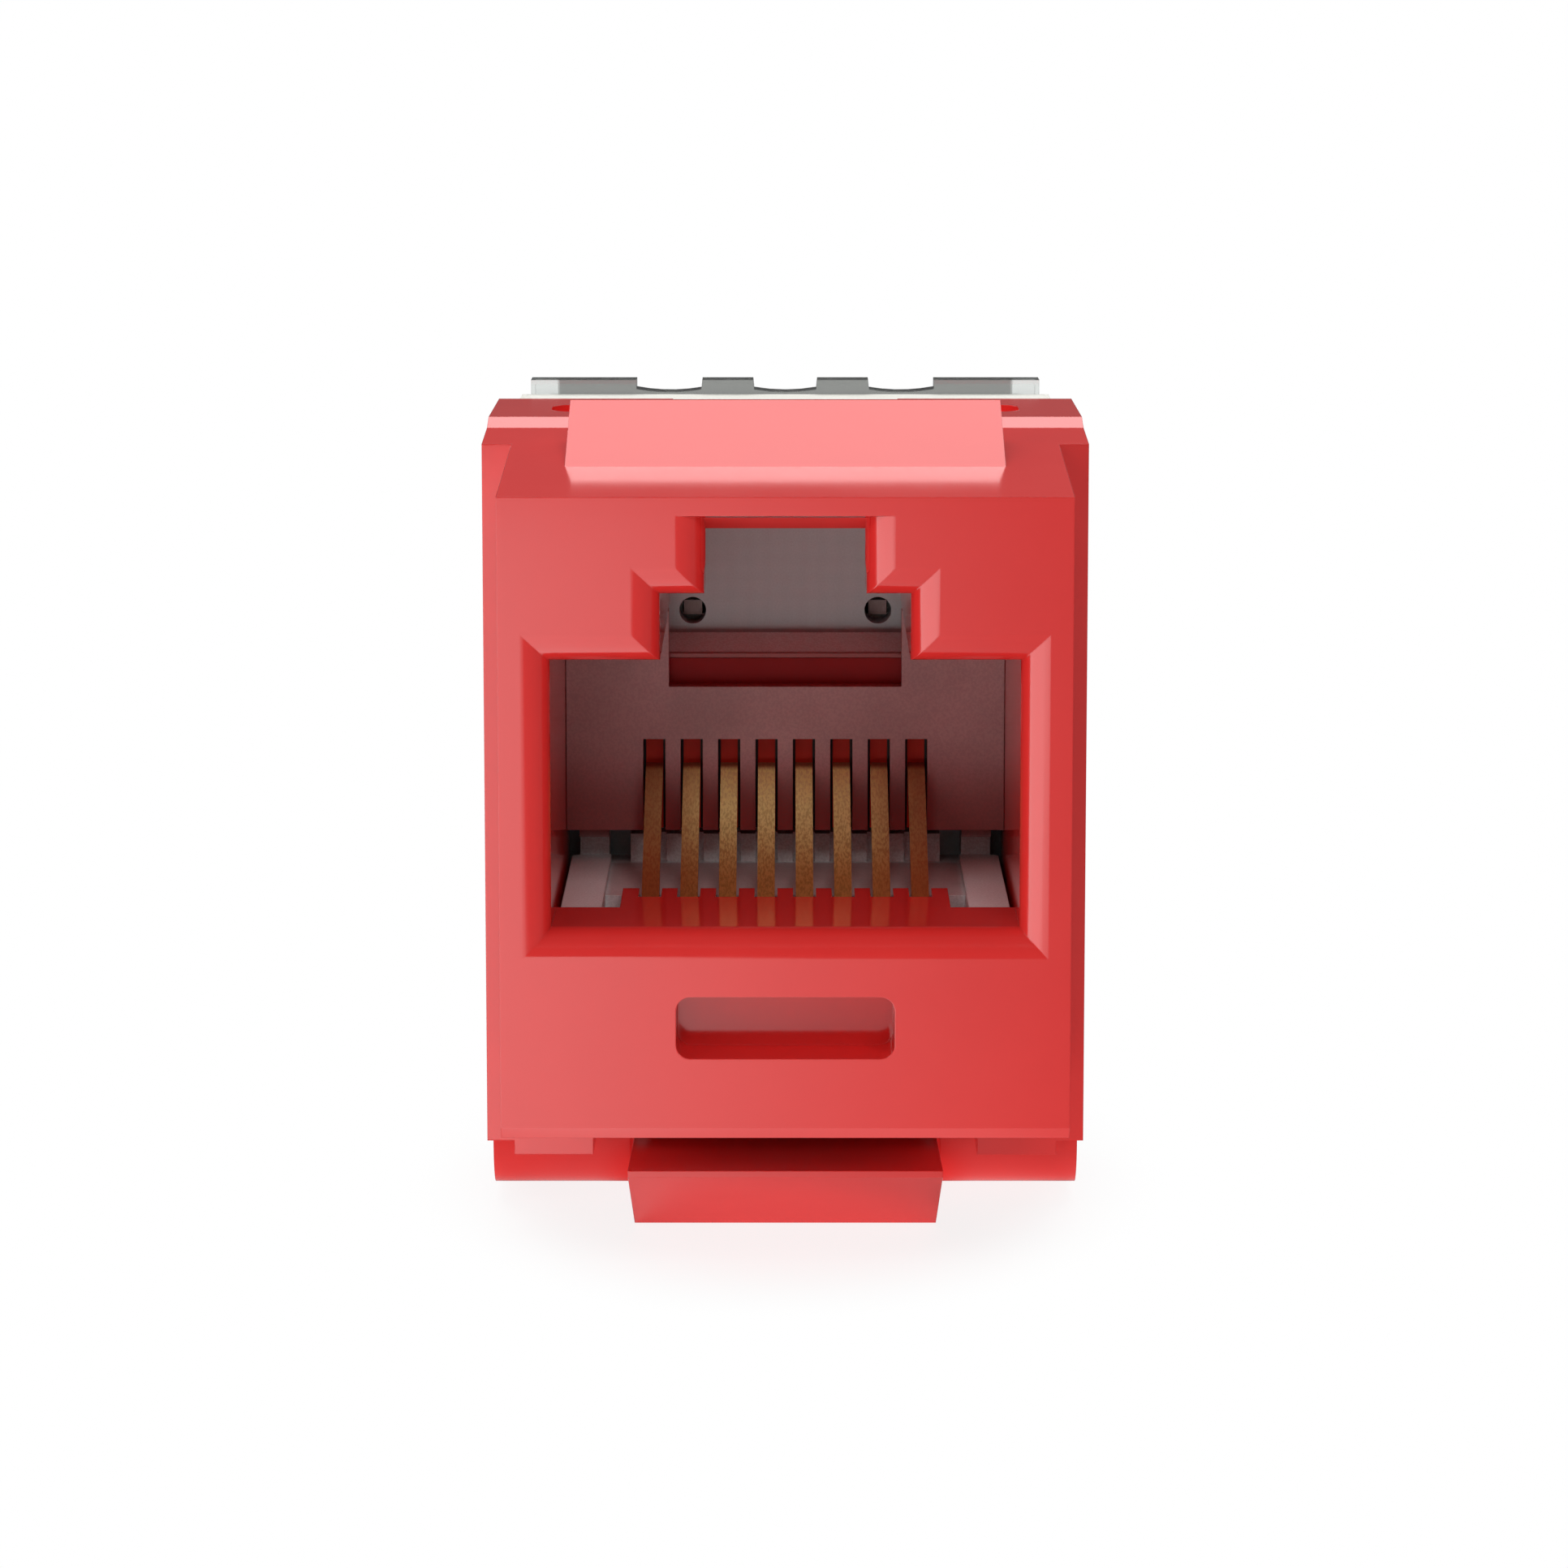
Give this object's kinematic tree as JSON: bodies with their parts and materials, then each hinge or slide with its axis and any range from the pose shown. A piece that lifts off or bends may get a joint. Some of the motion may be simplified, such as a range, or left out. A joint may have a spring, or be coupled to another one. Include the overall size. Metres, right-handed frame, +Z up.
{
  "type": "keystone jack",
  "caption": "Snap-in panel jack: red housing with a stepped plug socket and sprung contacts, hook and latch for the cut-out, and a rear wire block under a clear dust cap.",
  "frame": {"origin": "centre of the flat front face, which sits in the panel's cut-out", "axes": "+X to the right seen from the front, +Y from the front face to the back, +Z up, with the fixed hook above and the latch below"},
  "size_m": [0.016, 0.029, 0.0224],
  "materials": {
    "red_plastic": "satin moulded",
    "grey_plastic": "fine matte moulded",
    "dark_red_plastic": "moulded",
    "gold_contact": "gold plated",
    "board": "solder mask",
    "pale_plastic": "moulded",
    "tinned_blade": "tin plated",
    "clear_plastic": "clear moulded"
  },
  "bodies": {
    "root": {"front_housing": "red_plastic", "contact_carrier": "grey_plastic", "contact_retainer": "dark_red_plastic", "contact_1": "gold_contact", "contact_2": "gold_contact", "contact_3": "gold_contact", "contact_4": "gold_contact", "contact_5": "gold_contact", "contact_6": "gold_contact", "contact_7": "gold_contact", "contact_8": "gold_contact", "circuit_board": "board", "idc_block": "pale_plastic", "idc_blade_1": "tinned_blade", "idc_blade_2": "tinned_blade", "idc_blade_3": "tinned_blade", "idc_blade_4": "tinned_blade", "idc_blade_5": "tinned_blade", "idc_blade_6": "tinned_blade", "idc_blade_7": "tinned_blade", "idc_blade_8": "tinned_blade", "dust_cap": "clear_plastic"}
  },
  "joints": []
}
